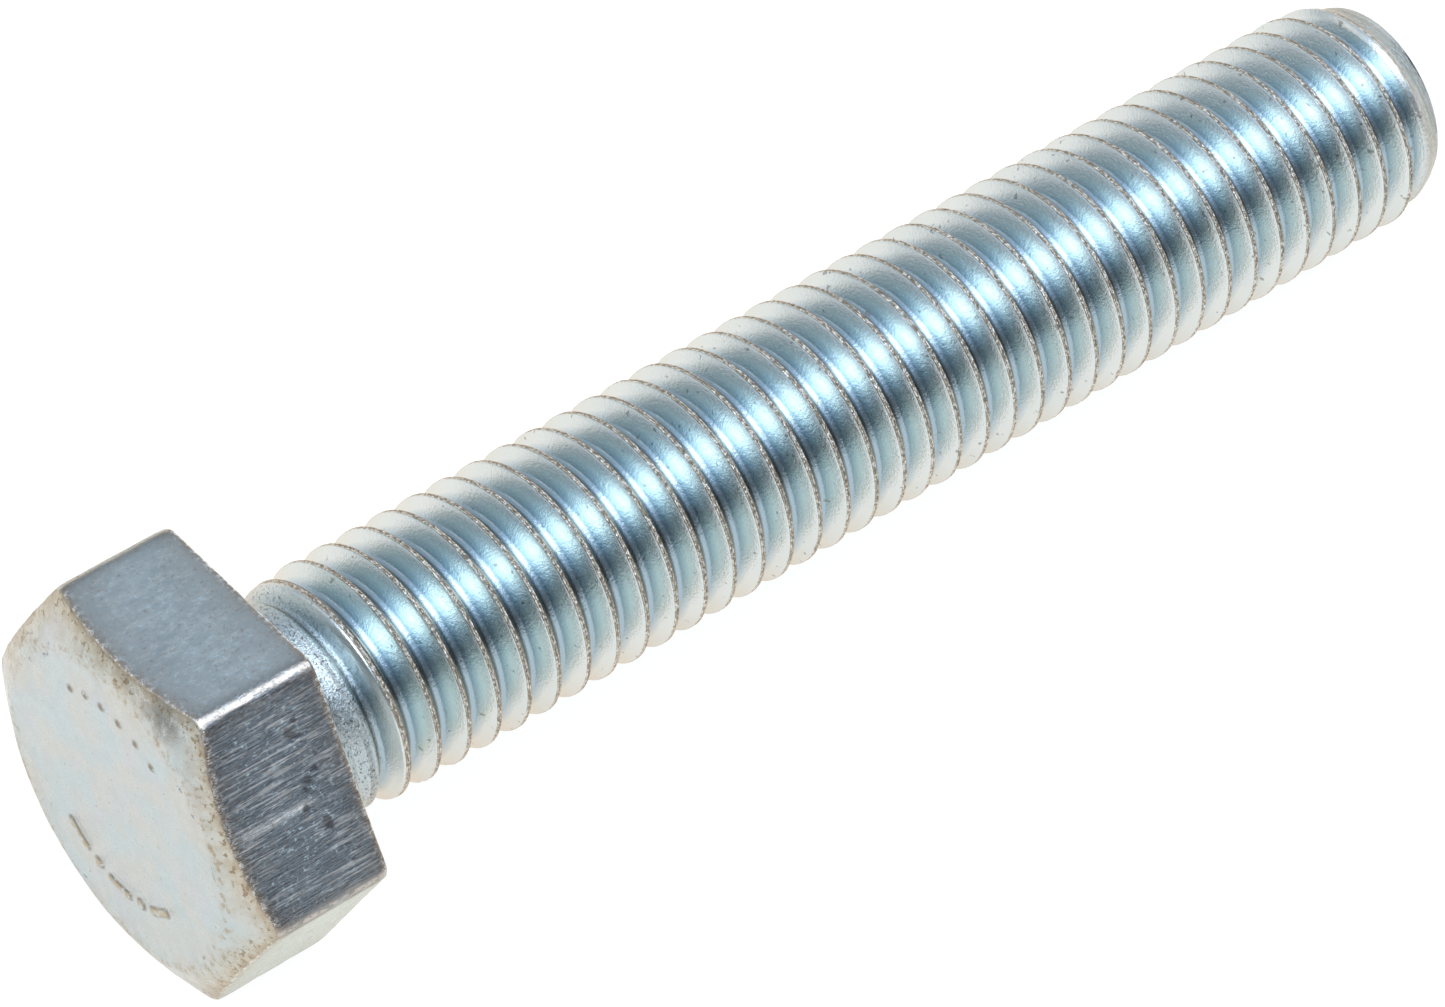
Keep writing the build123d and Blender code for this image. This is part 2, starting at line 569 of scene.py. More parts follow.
# How wide the head's masks are on each side of an edge
EDGE_WIDTH = 0.22
NEAR_EDGE_WIDTH = 0.9
CORNER_WIDTH = 0.11
BESIDE_CORNER_WIDTH = 0.5
FACE_RIM_WIDTH = 0.35


def lip_shade(along):
    """Dark lines beside each crest: dirt in the seam along its middle, and painted shade down its
    tip-facing side.
    """
    past_crest = (along % PITCH) - PITCH / 2
    seam = 0.4 * fade(past_crest, SEAM_LINE)
    lip = fade(past_crest - LIP_OFFSET, LIP_LINE)
    return np.maximum(seam, lip)


def nick_crests(points):
    """Knocks small dents into the thread's crests."""
    rng = np.random.default_rng(NICK_SEED)
    x, y, z = points.T
    radius = np.hypot(y, z)
    angles = np.arctan2(z, y)
    depth = np.zeros_like(radius)
    for _ in range(NICKS):
        at_x, at_angle = rng.uniform(4, TIP_X - 1), rng.uniform(-math.pi, math.pi)
        size, deep = rng.uniform(*NICK_SIZE), rng.uniform(*NICK_DEPTH)
        arc = ((angles - at_angle + math.pi) % FULL_TURN - math.pi) * CREST_R
        reach = np.hypot((x - at_x) / 0.5, arc / size)
        depth = np.maximum(depth, deep * (1 - smooth_step(0.3, 1.0, reach)))
    depth *= smooth_step(CREST_R - 0.25, CREST_R - 0.05, radius) * (x > 2)
    depth += (x > 1.2) * THREAD_RIPPLE * lumps_at(points, (0.5, 0.6, 0.6), 7.7)
    shrink = 1 - depth / np.maximum(radius, 0.1)
    return np.stack([x, y * shrink, z * shrink], -1)


def surface_masks(points):
    """Every mask that the materials use, in 0..1 at each point, by the name they use."""
    x, y, z = points.T
    radius = np.hypot(y, z)
    angles = np.arctan2(z, y)
    outline = outline_radius(angles)
    on_thread = smooth_step(*THREAD_FROM, x)
    from_top = (angles - math.pi / 2) % FULL_TURN / FULL_TURN
    along = x - PITCH * from_top
    past_crest = (along % PITCH) - PITCH / 2
    gap = rim_gap(x, radius, outline)
    to_corner = corner_gap(x, radius, angles, outline)
    on_face = (x < FACE_X + 0.15) & (radius < 7.2)
    mark = np.where(on_face, mark_height(y, z), 0) / MARK_HEIGHT
    turned = (angles - RUB_ANGLE) * radius
    rubbed = np.hypot(turned / RUB_SIZE[0], (radius - RUB_RADIUS) / RUB_SIZE[1])
    return {
        "crest": smooth_step(*CRESTS_FROM, x) * smooth_step(*CREST_ACROSS, np.abs(past_crest)),
        "lip": on_thread * lip_shade(along) * smooth_step(*LIP_UP_TO_CREST, radius - CREST_R),
        # tip_side: where the painted cyan reflection goes
        "tip_side": on_thread * smooth_step(*TIP_SIDE_ACROSS, past_crest),
        "rough_neck": smooth_step(*ROUGH_NECK_FROM, x) * (1 - smooth_step(*ROUGH_NECK_TO, x)),
        "dull_tip": smooth_step(*DULL_TIP_FROM, x),
        # deep: where the groove's painted shade goes, darker and bluer towards the root
        "deep": on_thread * (1 - smooth_step(*DEEP_ABOVE_ROOT, radius - ROOT_R)),
        "edge": fade(gap, EDGE_WIDTH),
        "near_edge": np.exp(-gap / NEAR_EDGE_WIDTH),
        "corner": fade(to_corner, CORNER_WIDTH),
        "beside_corner": fade(to_corner, BESIDE_CORNER_WIDTH),
        "face_rim": fade(radius - FACE_R, FACE_RIM_WIDTH) * (x < FACE_X + 0.3),
        "slide_mark": slide_mark(points),
        # scored: the scoring share, which also sets how strongly the painted dark reflection falls
        # on each flat
        "scored": flat_scoring(angles),
        # where the painted shadow round the raised marks goes
        "mark_side_shadow": 4 * mark * (1 - mark),
        "mark_top": mark,
        "tear": on_flat(x, radius, outline) * torn(points) * flat_scoring(angles),
        "rubbed": 1 - smooth_step(*RUB_FADES, rubbed),
    }


# The bolt's surfaces, in the order of its material slots
FACE, FLAT, UNDERSIDE, THREAD, TIP = range(5)
# Where they change over: how deep the tip's end face is hollowed and how wide its rim is, the
# underside's start and its end up the neck's fillet, and the margin at the flats' edges
END_FACE_DEPTH = 0.08
END_FACE_RIM = 0.03
UNDERSIDE_FROM = -0.03
UNDERSIDE_TO = 0.35
FLAT_MARGIN = 0.02


def finish_of(x, radius, outline):
    """Which of the bolt's surfaces a place belongs to."""
    if x > TIP_X - END_FACE_DEPTH and radius < TIP_R - END_FACE_RIM:
        return TIP
    if x > UNDERSIDE_TO:
        return THREAD
    if x > UNDERSIDE_FROM:
        return UNDERSIDE
    edge_x = FACE_X + (outline - FACE_R) * CHAMFER_SLOPE
    on_flats = x >= edge_x + FLAT_MARGIN or radius >= outline - FLAT_MARGIN
    return FLAT if on_flats else FACE


def ring_at(body, x):
    """The points of an open end at x, in order round the axis from -Y."""
    points = {vert for edge in open_loop(body, x) for vert in edge.verts}
    return sorted(points, key=lambda vert: math.atan2(vert.co.z, vert.co.y))


def join_ends(body):
    """Closes the band between head and thread, whose ends have different numbers of points."""
    rings = [ring_at(body, NECK_END), ring_at(body, NECK_CUT)]
    steps = []
    for side, ring in enumerate(rings):
        for index in range(1, len(ring) + 1):
            vert = ring[index % len(ring)]
            angle = math.atan2(vert.co.z, vert.co.y) + FULL_TURN * (index == len(ring))
            steps.append((angle, side, index))
    at = [0, 0]
    for _, side, index in sorted(steps):
        here = [ring[place % len(ring)] for ring, place in zip(rings, at)]
        body.faces.new((here[0], here[1], rings[side][index % len(rings[side])]))
        at[side] = index


def make_bolt():
    """Head and thread joined into one closed mesh, with its masks and its five surfaces."""
    body = thread_part()
    head = head_part()
    head_mesh = bpy.data.meshes.new("head")
    head.to_mesh(head_mesh)
    head.free()
    body.from_mesh(head_mesh)
    bpy.data.meshes.remove(head_mesh)
    join_ends(body)
    bmesh.ops.recalc_face_normals(body, faces=body.faces[:])

    points = nick_crests(np.array([vert.co[:] for vert in body.verts]))
    masks = surface_masks(points)
    layers = {name: body.verts.layers.float.new(name) for name in masks}
    for index, vert in enumerate(body.verts):
        vert.co = points[index] * MM
        for name, layer in layers.items():
            vert[layer] = float(masks[name][index])
    for face in body.faces:
        centre = face.calc_center_median() / MM
        outline = float(outline_radius(np.array(math.atan2(centre.z, centre.y))))
        radius = math.hypot(centre.y, centre.z)
        face.material_index = finish_of(centre.x, radius, outline)
        face.smooth = True

    mesh = bpy.data.meshes.new("hex_bolt_body")
    body.to_mesh(mesh)
    body.free()
    bolt = bpy.data.objects.new("hex_bolt_body", mesh)
    bpy.context.collection.objects.link(bolt)
    return bolt


# ---------------------------------------------------------------- materials

# Tint of the reflections at a glancing angle, where the plating turns from blue to cream
FACE_TINT = (1.0, 0.97, 0.93, 1.0)
FLAT_TINT = (1.0, 0.98, 0.86, 1.0)
THREAD_TINT = (1.0, 0.86, 0.72, 1.0)
DULL_TINT = (1.0, 0.82, 0.66, 1.0)

BROWN = (0.36, 0.29, 0.22)

# The outer face: two drifting shades, lilac patches, then what stains it, and the painted shadow
# round the raised marks
FACE_COOL = (0.49, 0.555, 0.56)
FACE_WARM = (0.54, 0.55, 0.52)
FACE_LILAC = (0.53, 0.54, 0.57)
FACE_TAN = (0.55, 0.47, 0.32)
FACE_STAIN = (0.42, 0.34, 0.23)
RIM_BROWN = (0.36, 0.27, 0.16)
RUBBED_GREY = (0.24, 0.24, 0.22)
SPOT_BROWN = (0.22, 0.15, 0.08)
MARK_TAN = (0.44, 0.35, 0.22)
# painted shadow round the sides of the raised marks
MARK_SIDE_SHADOW = (0.20, 0.17, 0.13)
FACE_FLECK = (0.32, 0.26, 0.18)

# The wrench flats: their mottled shades, the scores with the painted dark reflection on the scored
# flats, then the wear of edges and corners and the painted shade beside the corners
FLAT_DARK = (0.46, 0.51, 0.51)
FLAT_LIGHT = (0.62, 0.65, 0.63)
FLAT_DRIFT = (0.57, 0.62, 0.63)
# painted dark reflection on the scored flats
SCORED_DARK_REFLECTION = (0.165, 0.20, 0.235)
# lighter score streaks: real scratches, made lighter partly as painted light
SCORE_BRIGHT = (0.60, 0.61, 0.60)
SLIDE_BRIGHT = (0.80, 0.82, 0.82)
PALE_BLUE = (0.62, 0.76, 0.82)
FLAT_FLECK = (0.33, 0.28, 0.25)
TORN_BLACK = (0.10, 0.10, 0.11)
PLAIN_GRIME = (0.40, 0.36, 0.32)
SCORED_GRIME = (0.13, 0.12, 0.11)
# painted shade beside the corners
CORNER_SHADE = (0.19, 0.17, 0.15)
BARE_EDGE = (0.86, 0.82, 0.77)
CORNER_METAL = (0.56, 0.50, 0.45)

# The thread: its two flanks, its groove, its crests, then the neck and the tip
THREAD_COOL = (0.64, 0.67, 0.645)
THREAD_WARM = (0.67, 0.69, 0.66)
# painted reflection: cyan on the tip-facing flanks, standing in for light bounced between the
# flanks
TIP_SIDE_REFLECTION_CYAN = (0.56, 0.75, 0.79)
# painted shade: the groove's colour, darker and bluer than the flanks, partly the plating's own
# blue
GROOVE_SHADE_BLUE = (0.34, 0.44, 0.50)
CREST_TAN = (0.61, 0.55, 0.45)
CREST_BARE = (0.88, 0.87, 0.84)
CREST_WORN = (0.22, 0.17, 0.12)
# dirt in the seam, and painted shade down each crest's tip-facing side
LIP_DIRT_AND_SHADE = (0.07, 0.065, 0.06)
PIT_GREY = (0.22, 0.22, 0.20)
NECK_GREY = (0.42, 0.50, 0.53)
NECK_SCALE = (0.07, 0.075, 0.08)
TIP_DULL = (0.52, 0.54, 0.51)

# The underside and the tip's end face
UNDERSIDE_DARK = (0.55, 0.62, 0.64)
UNDERSIDE_LIGHT = (0.64, 0.68, 0.68)
UNDERSIDE_BROWN = (0.44, 0.38, 0.33)
SHEAR_DARK = (0.50, 0.57, 0.60)
SHEAR_LIGHT = (0.62, 0.67, 0.68)
SHEAR_FLECK = (0.36, 0.31, 0.27)


class Nodes:
    """A node tree being built, with a short way to make each kind of node."""

    def __init__(self, tree):
        self.tree = tree

    def link(self, source, socket):
        self.tree.links.new(source, socket)

    def ramp(self, value, start, end, low_value=0.0, high_value=1.0):
        """value between start and end, turned smoothly into low_value to high_value."""
        node = self.tree.nodes.new("ShaderNodeMapRange")
        node.interpolation_type = "SMOOTHSTEP"
        self.link(value, node.inputs["Value"])
        settings = {"From Min": start, "From Max": end, "To Min": low_value, "To Max": high_value}
        for socket, number in settings.items():
            node.inputs[socket].default_value = number
        return node.outputs["Result"]

    def math(self, operation, a, b):
        """An operation on two values, each of them a socket or a number."""
        node = self.tree.nodes.new("ShaderNodeMath")
        node.operation = operation
        for socket, value in zip(node.inputs, (a, b)):
            if isinstance(value, (int, float)):
                socket.default_value = value
            else:
                self.link(value, socket)
        return node.outputs[0]

    def both(self, a, b):
        """Two masks multiplied, each of them a socket or a number."""
        return self.math("MULTIPLY", a, b)

    def mix(self, factor, a, b):
        """Colour a turned into colour b by factor; each colour is a socket or three numbers."""
        node = self.tree.nodes.new("ShaderNodeMix")
        node.data_type = "RGBA"
        self.link(factor, node.inputs["Factor"])
        for name, value in (("A", a), ("B", b)):
            socket = [item for item in node.inputs if item.name == name and item.type == "RGBA"][0]
            if isinstance(value, tuple):
                socket.default_value = (*value, 1)
            else:
                self.link(value, socket)
        return [item for item in node.outputs if item.type == "RGBA"][0]

    def paint(self, colour, mask, strength, paint):
        """A colour with paint over it where the mask is, at most as strongly as strength."""
        return self.mix(self.both(mask, strength), colour, paint)

    def vector(self, operation, a, b):
        """A vector operation on a socket and three numbers."""
        node = self.tree.nodes.new("ShaderNodeVectorMath")
        node.operation = operation
        self.link(a, node.inputs[0])
        node.inputs[1].default_value = b
        return node.outputs["Value" if operation == "DOT_PRODUCT" else "Vector"]


class Surface(Nodes):
    """A metal material being built: its node tree, its shader and where it is on the bolt."""

    def __init__(self, name, edge_tint):
        self.material = bpy.data.materials.new(name)
        self.material.use_nodes = True
        super().__init__(self.material.node_tree)
        self.shader = self.tree.nodes["Principled BSDF"]
        self.shader.inputs["Metallic"].default_value = 1.0
        self.shader.inputs["Specular Tint"].default_value = edge_tint
        self.place = self.tree.nodes.new("ShaderNodeTexCoord").outputs["Object"]

    def noise(self, lump, detail=3.0, roughness=0.55, offset=0.0):
        """Noise in 0..1 whose lumps measure lump (x, y, z) in millimetres."""
        mapping = self.tree.nodes.new("ShaderNodeMapping")
        mapping.inputs["Scale"].default_value = [1 / (MM * size) for size in lump]
        mapping.inputs["Location"].default_value = (offset, offset * 1.7, offset * 2.3)
        self.link(self.place, mapping.inputs["Vector"])
        texture = self.tree.nodes.new("ShaderNodeTexNoise")
        texture.inputs["Scale"].default_value = 1.0
        texture.inputs["Detail"].default_value = detail
        texture.inputs["Roughness"].default_value = roughness
        self.link(mapping.outputs["Vector"], texture.inputs["Vector"])
        return texture.outputs["Fac"]

    def mask(self, name):
        attribute = self.tree.nodes.new("ShaderNodeAttribute")
        attribute.attribute_name = name
        return attribute.outputs["Fac"]

    def bump(self, height, depth, under=None):
        """A bump whose height of 1 stands depth millimetres high, over an earlier bump."""
        node = self.tree.nodes.new("ShaderNodeBump")
        node.inputs["Strength"].default_value = 1.0
        node.inputs["Distance"].default_value = depth * MM
        self.link(height, node.inputs["Height"])
        if under is not None:
            self.link(under, node.inputs["Normal"])
        return node.outputs["Normal"]

    def finish(self, colour, roughness, normal):
        self.link(colour, self.shader.inputs["Base Color"])
        self.link(roughness, self.shader.inputs["Roughness"])
        self.link(normal, self.shader.inputs["Normal"])
        return self.material


def face_zinc():
    """Satin, milky plating of the head's outer face, with brown stains near its edges."""
    surface = Surface("zinc_face", FACE_TINT)
    drift = surface.noise((3.5, 3.0, 3.0), 2.0)
    tint = surface.noise((2.2, 2.2, 2.2), 2.0, 0.5, 9.0)
    blotch = surface.noise((0.9, 0.9, 0.9), 5.0, 0.7, 5.0)
    speckle = surface.noise((0.35, 0.35, 0.35), 4.0, 0.7, 3.0)
    grain = surface.noise((0.12, 0.12, 0.12), 3.0, 0.6, 7.0)
    colour = surface.mix(surface.ramp(drift, 0.36, 0.64), FACE_COOL, FACE_WARM)
    lilac = surface.ramp(tint, 0.5, 0.68, 0.0, 0.5)
    colour = surface.mix(lilac, colour, FACE_LILAC)
    near = surface.mask("near_edge")
    colour = surface.paint(colour, near, 0.8, FACE_TAN)
    stain = surface.both(surface.ramp(blotch, 0.38, 0.58), near)
    colour = surface.mix(stain, colour, FACE_STAIN)
    rim = surface.both(surface.mask("face_rim"), surface.ramp(speckle, 0.46, 0.60))
    rim = surface.both(rim, surface.ramp(blotch, 0.38, 0.56))
    colour = surface.paint(colour, rim, 0.8, RIM_BROWN)
    rubbed = surface.both(surface.mask("rubbed"), surface.ramp(blotch, 0.3, 0.5))
    colour = surface.paint(colour, rubbed, 0.9, RUBBED_GREY)
    spot = surface.both(surface.ramp(near, 0.15, 0.5), surface.ramp(speckle, 0.55, 0.61))
    colour = surface.paint(colour, spot, 0.8, SPOT_BROWN)
    edge = surface.both(surface.mask("edge"), surface.ramp(speckle, 0.36, 0.52))
    colour = surface.paint(colour, edge, 0.85, BROWN)
    top = surface.both(surface.mask("mark_top"), surface.ramp(speckle, 0.38, 0.52))
    colour = surface.paint(colour, top, 0.85, MARK_TAN)
    # painted shadow: a dark line round the raised marks' sides
    outline = surface.both(surface.mask("mark_side_shadow"), surface.ramp(speckle, 0.3, 0.5))
    colour = surface.paint(colour, outline, 0.9, MARK_SIDE_SHADOW)
    fleck = surface.both(surface.ramp(speckle, 0.64, 0.70), 0.7)
    colour = surface.mix(fleck, colour, FACE_FLECK)
    roughness = surface.ramp(blotch, 0.3, 0.7, 0.22, 0.36)
    normal = surface.bump(blotch, 0.06)
    normal = surface.bump(speckle, 0.022, normal)
    normal = surface.bump(grain, 0.006, normal)
    return surface.finish(colour, roughness, normal)


def flat_zinc():
    """Plating of the wrench flats: mottled, and scored along the axis where the die slid; the
    scored flats are darkened as a painted dark reflection, and their lighter streaks are partly
    painted light.
    """
    surface = Surface("zinc_flat", FLAT_TINT)
    scored = surface.mask("scored")
    mottle = surface.noise((0.8, 0.4, 0.4), 5.0, 0.72)
    drift = surface.noise((2.5, 2.5, 2.5), 2.0, 0.5, 4.0)
    where = surface.noise((3.0, 1.6, 1.6), 2.0, 0.5, 14.0)
    score = surface.noise((2.2, 0.11, 0.11), 3.0, 0.65, 2.0)
    fine_score = surface.noise((1.2, 0.05, 0.05), 2.0, 0.6, 6.0)
    speckle = surface.noise((0.25, 0.25, 0.25), 4.0, 0.7, 3.0)
    colour = surface.mix(surface.ramp(mottle, 0.35, 0.65), FLAT_DARK, FLAT_LIGHT)
    colour = surface.mix(surface.ramp(drift, 0.4, 0.65, 0.0, 0.4), colour, FLAT_DRIFT)
    # painted dark reflection: the scored flats darkened
    colour = surface.paint(colour, scored, 0.9, SCORED_DARK_REFLECTION)
    # lighter streaks along the scratches, partly painted light
    bright = surface.both(surface.ramp(score, 0.50, 0.64), scored)
    bright = surface.both(bright, surface.ramp(where, 0.36, 0.58, 0.12, 1.0))
    colour = surface.paint(colour, bright, 0.85, SCORE_BRIGHT)
    slide = surface.both(surface.mask("slide_mark"), surface.ramp(score, 0.15, 0.4))
    colour = surface.paint(colour, slide, 0.85, SLIDE_BRIGHT)
    pale = surface.both(surface.ramp(speckle, 0.45, 0.36), surface.ramp(mottle, 0.4, 0.55))
    colour = surface.paint(colour, pale, 0.7, PALE_BLUE)
    fleck = surface.both(surface.ramp(speckle, 0.57, 0.66), 0.55)
    colour = surface.mix(fleck, colour, FLAT_FLECK)
    tear = surface.ramp(surface.mask("tear"), 0.15, 0.6)
    colour = surface.paint(colour, tear, 0.8, TORN_BLACK)
    near = surface.both(surface.mask("near_edge"), surface.ramp(mottle, 0.34, 0.52))
    grime = surface.mix(scored, PLAIN_GRIME, SCORED_GRIME)
    colour = surface.paint(colour, near, 0.85, grime)
    # painted shade: darkens the flats beside each corner, narrowing the corner's highlight
    beside = surface.both(surface.mask("beside_corner"), surface.ramp(mottle, 0.3, 0.5))
    colour = surface.paint(colour, beside, 0.75, CORNER_SHADE)
    edge = surface.both(surface.mask("edge"), surface.ramp(speckle, 0.36, 0.52))
    colour = surface.paint(colour, edge, 0.85, BROWN)
    bare = surface.both(surface.mask("edge"), surface.ramp(speckle, 0.50, 0.42))
    colour = surface.paint(colour, bare, 0.9, BARE_EDGE)
    corner = surface.both(surface.mask("corner"), surface.ramp(speckle, 0.38, 0.52))
    corner = surface.both(corner, surface.ramp(mottle, 0.36, 0.5, 0.35, 1.0))
    colour = surface.paint(colour, corner, 0.85, CORNER_METAL)
    roughness = surface.ramp(mottle, 0.3, 0.7, 0.20, 0.28)
    roughness = surface.math("ADD", roughness, surface.both(bright, 0.12))
    roughness = surface.math("ADD", roughness, surface.both(corner, 0.04))
    normal = surface.bump(mottle, 0.03)
    normal = surface.bump(surface.both(score, scored), 0.03, normal)
    normal = surface.bump(surface.both(fine_score, scored), 0.01, normal)
    normal = surface.bump(speckle, 0.016, normal)
    return surface.finish(colour, roughness, normal)


def thread_zinc():
    """Glossy plating of the thread: bluer down in the groove, partly the plating's own blue and
    partly painted shade, with a painted cyan reflection on the tip-facing flanks, worn tan along
    the crests.
    """
    surface = Surface("zinc_thread", THREAD_TINT)
    drift = surface.noise((4.0, 4.0, 4.0), 2.0)
    peel = surface.noise((0.13, 0.15, 0.15), 3.0, 0.65, 4.0)
    grain = surface.noise((0.07, 0.07, 0.07), 3.0, 0.65, 7.0)
    speckle = surface.noise((0.12, 0.20, 0.20), 3.0, 0.75, 3.0)
    pits = surface.noise((0.35, 0.5, 0.5), 2.0, 0.5, 11.0)
    crest = surface.mask("crest")
    rough_neck = surface.mask("rough_neck")
    dull_tip = surface.mask("dull_tip")
    colour = surface.mix(surface.ramp(drift, 0.3, 0.7), THREAD_COOL, THREAD_WARM)
    # painted reflection: a cyan tint on the tip-facing flanks
    colour = surface.mix(surface.mask("tip_side"), colour, TIP_SIDE_REFLECTION_CYAN)
    # painted shade: a darker, bluer colour down in the groove
    colour = surface.mix(surface.mask("deep"), colour, GROOVE_SHADE_BLUE)
    worn = surface.both(crest, surface.ramp(speckle, 0.44, 0.58))
    colour = surface.paint(colour, crest, 0.85, CREST_TAN)
    bare = surface.both(crest, surface.ramp(speckle, 0.46, 0.38))
    colour = surface.paint(colour, bare, 0.8, CREST_BARE)
    colour = surface.paint(colour, worn, 0.85, CREST_WORN)
    # dirt in the seam, and painted shade beside each crest
    dirt_and_shade = surface.both(surface.mask("lip"), surface.ramp(speckle, 0.25, 0.5, 0.5, 1.0))
    colour = surface.paint(colour, dirt_and_shade, 0.9, LIP_DIRT_AND_SHADE)
    colour = surface.mix(surface.ramp(pits, 0.68, 0.74, 0.0, 0.7), colour, PIT_GREY)
    colour = surface.paint(colour, rough_neck, 0.7, NECK_GREY)
    scale = surface.both(rough_neck, surface.ramp(speckle, 0.54, 0.64))
    colour = surface.paint(colour, scale, 0.85, NECK_SCALE)
    dull = surface.both(dull_tip, surface.ramp(speckle, 0.35, 0.6, 0.45, 1.0))
    colour = surface.mix(dull, colour, TIP_DULL)
    roughness = surface.ramp(peel, 0.3, 0.7, 0.07, 0.16)
    roughness = surface.math("ADD", roughness, surface.both(worn, 0.10))
    roughness = surface.math("ADD", roughness, surface.both(dull_tip, 0.06))
    relief = surface.math("ADD", crest, surface.both(rough_neck, 0.45))
    relief = surface.math("ADD", relief, surface.both(dull_tip, 1.3))
    normal = surface.bump(peel, 0.019)
    normal = surface.bump(grain, 0.008, normal)
    normal = surface.bump(surface.both(speckle, relief), 0.13, normal)
    return surface.finish(colour, roughness, normal)


def underside_zinc():
    """Duller, blotched plating under the head."""
    surface = Surface("zinc_underside", DULL_TINT)
    blotch = surface.noise((0.9, 0.9, 0.9), 4.0, 0.65, 5.0)
    speckle = surface.noise((0.3, 0.3, 0.3), 4.0, 0.65, 3.0)
    colour = surface.mix(surface.ramp(blotch, 0.35, 0.65), UNDERSIDE_DARK, UNDERSIDE_LIGHT)
    edge = surface.both(surface.mask("edge"), surface.ramp(speckle, 0.3, 0.55))
    colour = surface.paint(colour, edge, 0.7, UNDERSIDE_BROWN)
    roughness = surface.ramp(blotch, 0.3, 0.7, 0.26, 0.4)
    normal = surface.bump(blotch, 0.03)
    normal = surface.bump(speckle, 0.01, normal)
    return surface.finish(colour, roughness, normal)


def tip_zinc():
    """The sheared and plated end of the blank."""
    surface = Surface("zinc_tip", DULL_TINT)
    shear = surface.noise((0.3, 0.3, 1.6), 4.0, 0.65, 5.0)
    speckle = surface.noise((0.2, 0.2, 0.2), 4.0, 0.65, 3.0)
    colour = surface.mix(surface.ramp(shear, 0.35, 0.65), SHEAR_DARK, SHEAR_LIGHT)
    fleck = surface.both(surface.ramp(speckle, 0.6, 0.7), 0.5)
    colour = surface.mix(fleck, colour, SHEAR_FLECK)
    roughness = surface.ramp(shear, 0.3, 0.7, 0.28, 0.45)
    normal = surface.bump(shear, 0.06)
    normal = surface.bump(speckle, 0.012, normal)
    return surface.finish(colour, roughness, normal)


# ---------------------------------------------------------------- studio

# The photograph's view: the camera's place and lens in millimetres, and its axes
CAMERA_PLACE = (-116.6, -169.3, 221.1)
CAMERA_RIGHT = (0.7723, -0.635, 0.0194)
CAMERA_UP = (0.4395, 0.556, 0.7053)
FOCAL_LENGTH = 164.1
SENSOR = 36.0
CLIP = (0.01, 50)  # in metres


def make_camera():
    right = Vector(CAMERA_RIGHT).normalized()
    back = right.cross(Vector(CAMERA_UP)).normalized()
    up = back.cross(right)
    data = bpy.data.cameras.new("camera")
    data.lens = FOCAL_LENGTH
    data.sensor_width = SENSOR
    data.clip_start, data.clip_end = CLIP
    camera = bpy.data.objects.new("camera", data)
    turn = Matrix((right, up, back)).transposed().to_4x4()
    camera.matrix_world = Matrix.Translation(Vector(CAMERA_PLACE) * MM) @ turn
    bpy.context.collection.objects.link(camera)
    bpy.context.scene.camera = camera


REST_CREST_X = 69.0  # where the last crest that touches the floor lies
FLOOR_SIZE = 8.0  # in metres
FLOOR_GREY = 0.2
FLOOR_GLOW = 0.92


def make_floor():
    """A white floor, tilted so that the head's lowest flat and the tip's last crest rest on it."""
    tilt = math.atan2(FLAT_R - CREST_R, REST_CREST_X)
    half = FLOOR_SIZE / 2
    corners = [(-half, -half, 0), (half, -half, 0), (half, half, 0), (-half, half, 0)]
    mesh = bpy.data.meshes.new("studio_floor")
    mesh.from_pydata(corners, [], [(0, 1, 2, 3)])
    floor = bpy.data.objects.new("studio_floor", mesh)
    floor.matrix_world = Matrix.Translation((0, 0, -FLAT_R * MM)) @ Matrix.Rotation(-tilt, 4, "Y")
    bpy.context.collection.objects.link(floor)
    material = bpy.data.materials.new("white_floor")
    material.use_nodes = True
    shader = material.node_tree.nodes["Principled BSDF"]
    shader.inputs["Base Color"].default_value = (FLOOR_GREY, FLOOR_GREY, FLOOR_GREY, 1)
    shader.inputs["Roughness"].default_value = 0.9
    shader.inputs["Specular IOR Level"].default_value = 0.0
    shader.inputs["Emission Color"].default_value = (1, 1, 1, 1)
    shader.inputs["Emission Strength"].default_value = FLOOR_GLOW
    floor.data.materials.append(material)


# Soft box over the bolt: direction, then distance, offset along the bolt and its two sides in
# metres, and radiance
BOX_DIRECTION = (0.0, -0.292, 0.956)
BOX_DISTANCE = 0.6
BOX_MIDDLE_X = -0.05
BOX_SIZE = (1.6, 0.28)
BOX_RADIANCE = 3.1


def make_soft_box():
    data = bpy.data.lights.new("soft_box", "AREA")
    data.shape = "RECTANGLE"
    data.size, data.size_y = BOX_SIZE
    data.energy = BOX_RADIANCE * math.pi * BOX_SIZE[0] * BOX_SIZE[1]
    data.color = (1.0, 1.0, 1.0)
    box = bpy.data.objects.new("soft_box", data)
    direction = Vector(BOX_DIRECTION).normalized()
    side = Vector((1, 0, 0))
    turn = Matrix((side, direction.cross(side), direction)).transposed().to_4x4()
    box.matrix_world = Matrix.Translation(direction * BOX_DISTANCE + side * BOX_MIDDLE_X) @ turn
    box.visible_camera = False
    bpy.context.collection.objects.link(box)


# Surroundings: the wall on the camera's side, the wall behind, the glow round the soft box, the
# dark beyond the tip
WALL_NEAR = (0.20, 0.21, 0.23)
WALL_FAR = (0.54, 0.62, 0.71)
GLOW = (0.80, 1.00, 1.30)
DARK_CORNER = (0.03, 0.03, 0.035)
# A round fill light beyond the head
FILL_DIRECTION = (-0.60, 0.55, 0.58)
FILL = (1.1, 1.1, 1.1)
# The pale sweep climbs highest in this direction
BACKDROP_DIRECTION = (0.45, 0.80, 0.0)
SWEEP = (1.0, 1.0, 1.0)
SWEEP_PAST_TIP = (1.9, 1.9, 2.0)
SWEEP_HEIGHT = 0.28
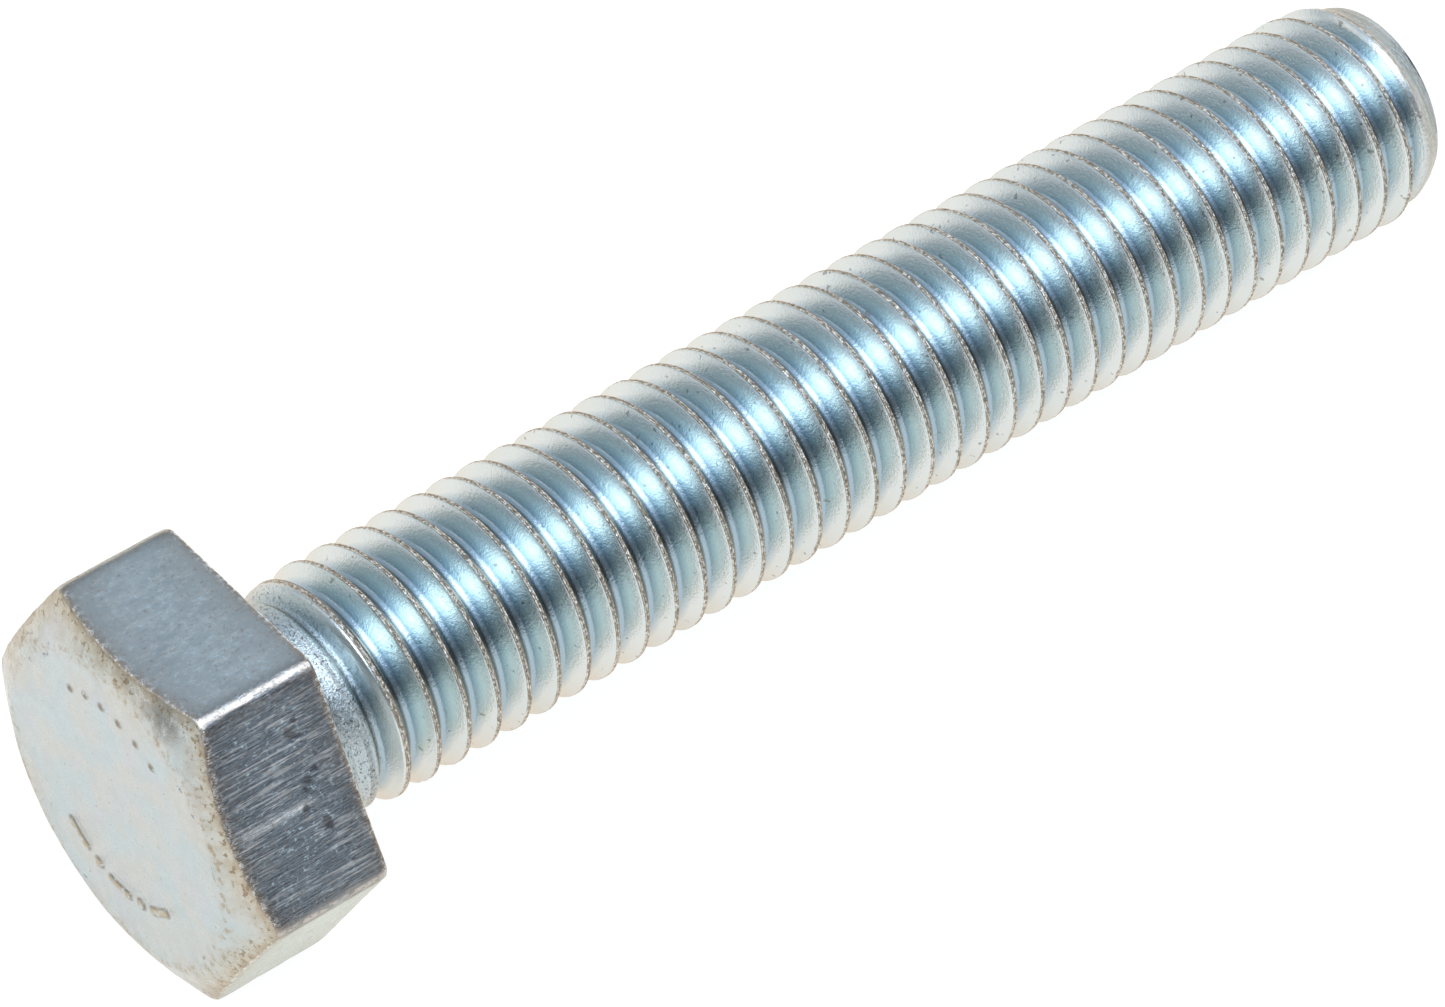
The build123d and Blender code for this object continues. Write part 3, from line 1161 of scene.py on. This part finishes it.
# Where these change over, in pairs: along a direction's X, Y or Z, or the cosine of its angle
FAR_SIDE_Y = (-0.45, 0.1)
GLOW_COSINE = (0.70, 0.96)
SWEEP_CLIMBS = (0.25, 0.85)
SWEEP_TOP = (-0.04, 0.05)
SWEEP_PAST_TIP_X = (0.5, 0.9)
DARK_X = (0.55, 0.85)
DARK_Y = (0.38, 0.16)
FILL_COSINE = (0.93, 0.98)
# What the camera sees past the floor's edge
PALE = (0.93, 0.94, 0.95)


def make_world():
    """A pale sweep low down all round, dim grey-blue above it, and dark beyond the soft box."""
    world = bpy.data.worlds.new("studio")
    world.use_nodes = True
    bpy.context.scene.world = world
    nodes = Nodes(world.node_tree)
    place = nodes.tree.nodes.new("ShaderNodeTexCoord").outputs["Generated"]
    direction = nodes.tree.nodes.new("ShaderNodeSeparateXYZ")
    nodes.link(place, direction.inputs[0])
    x, y, z = (direction.outputs[axis] for axis in "XYZ")

    walls = nodes.mix(nodes.ramp(y, *FAR_SIDE_Y), WALL_NEAR, WALL_FAR)
    across = nodes.vector("NORMALIZE", nodes.vector("MULTIPLY", place, (0, 1, 1)), (0, 0, 0))
    to_box = nodes.vector("DOT_PRODUCT", across, Vector(BOX_DIRECTION).normalized())
    walls = nodes.mix(nodes.ramp(to_box, *GLOW_COSINE), walls, GLOW)

    to_backdrop = nodes.vector("DOT_PRODUCT", place, BACKDROP_DIRECTION)
    top_of_sweep = nodes.ramp(to_backdrop, *SWEEP_CLIMBS, 0.0, SWEEP_HEIGHT)
    above_sweep = nodes.math("SUBTRACT", z, top_of_sweep)
    sweep = nodes.mix(nodes.ramp(x, *SWEEP_PAST_TIP_X), SWEEP, SWEEP_PAST_TIP)
    colour = nodes.mix(nodes.ramp(above_sweep, *SWEEP_TOP), sweep, walls)

    past_tip = nodes.both(nodes.ramp(x, *DARK_X), nodes.ramp(y, *DARK_Y))
    colour = nodes.mix(past_tip, colour, DARK_CORNER)
    to_fill = nodes.vector("DOT_PRODUCT", place, FILL_DIRECTION)
    colour = nodes.mix(nodes.ramp(to_fill, *FILL_COSINE), colour, FILL)
    seen = nodes.tree.nodes.new("ShaderNodeLightPath").outputs["Is Camera Ray"]
    colour = nodes.mix(seen, colour, PALE)
    nodes.link(colour, nodes.tree.nodes["Background"].inputs["Color"])


make_camera()
make_world()
make_floor()
make_soft_box()

bolt = make_bolt()
for make_material in (face_zinc, flat_zinc, underside_zinc, thread_zinc, tip_zinc):
    bolt.data.materials.append(make_material())
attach(bolt, "root")
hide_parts(NODE)

bpy.context.scene.view_settings.view_transform = "Standard"
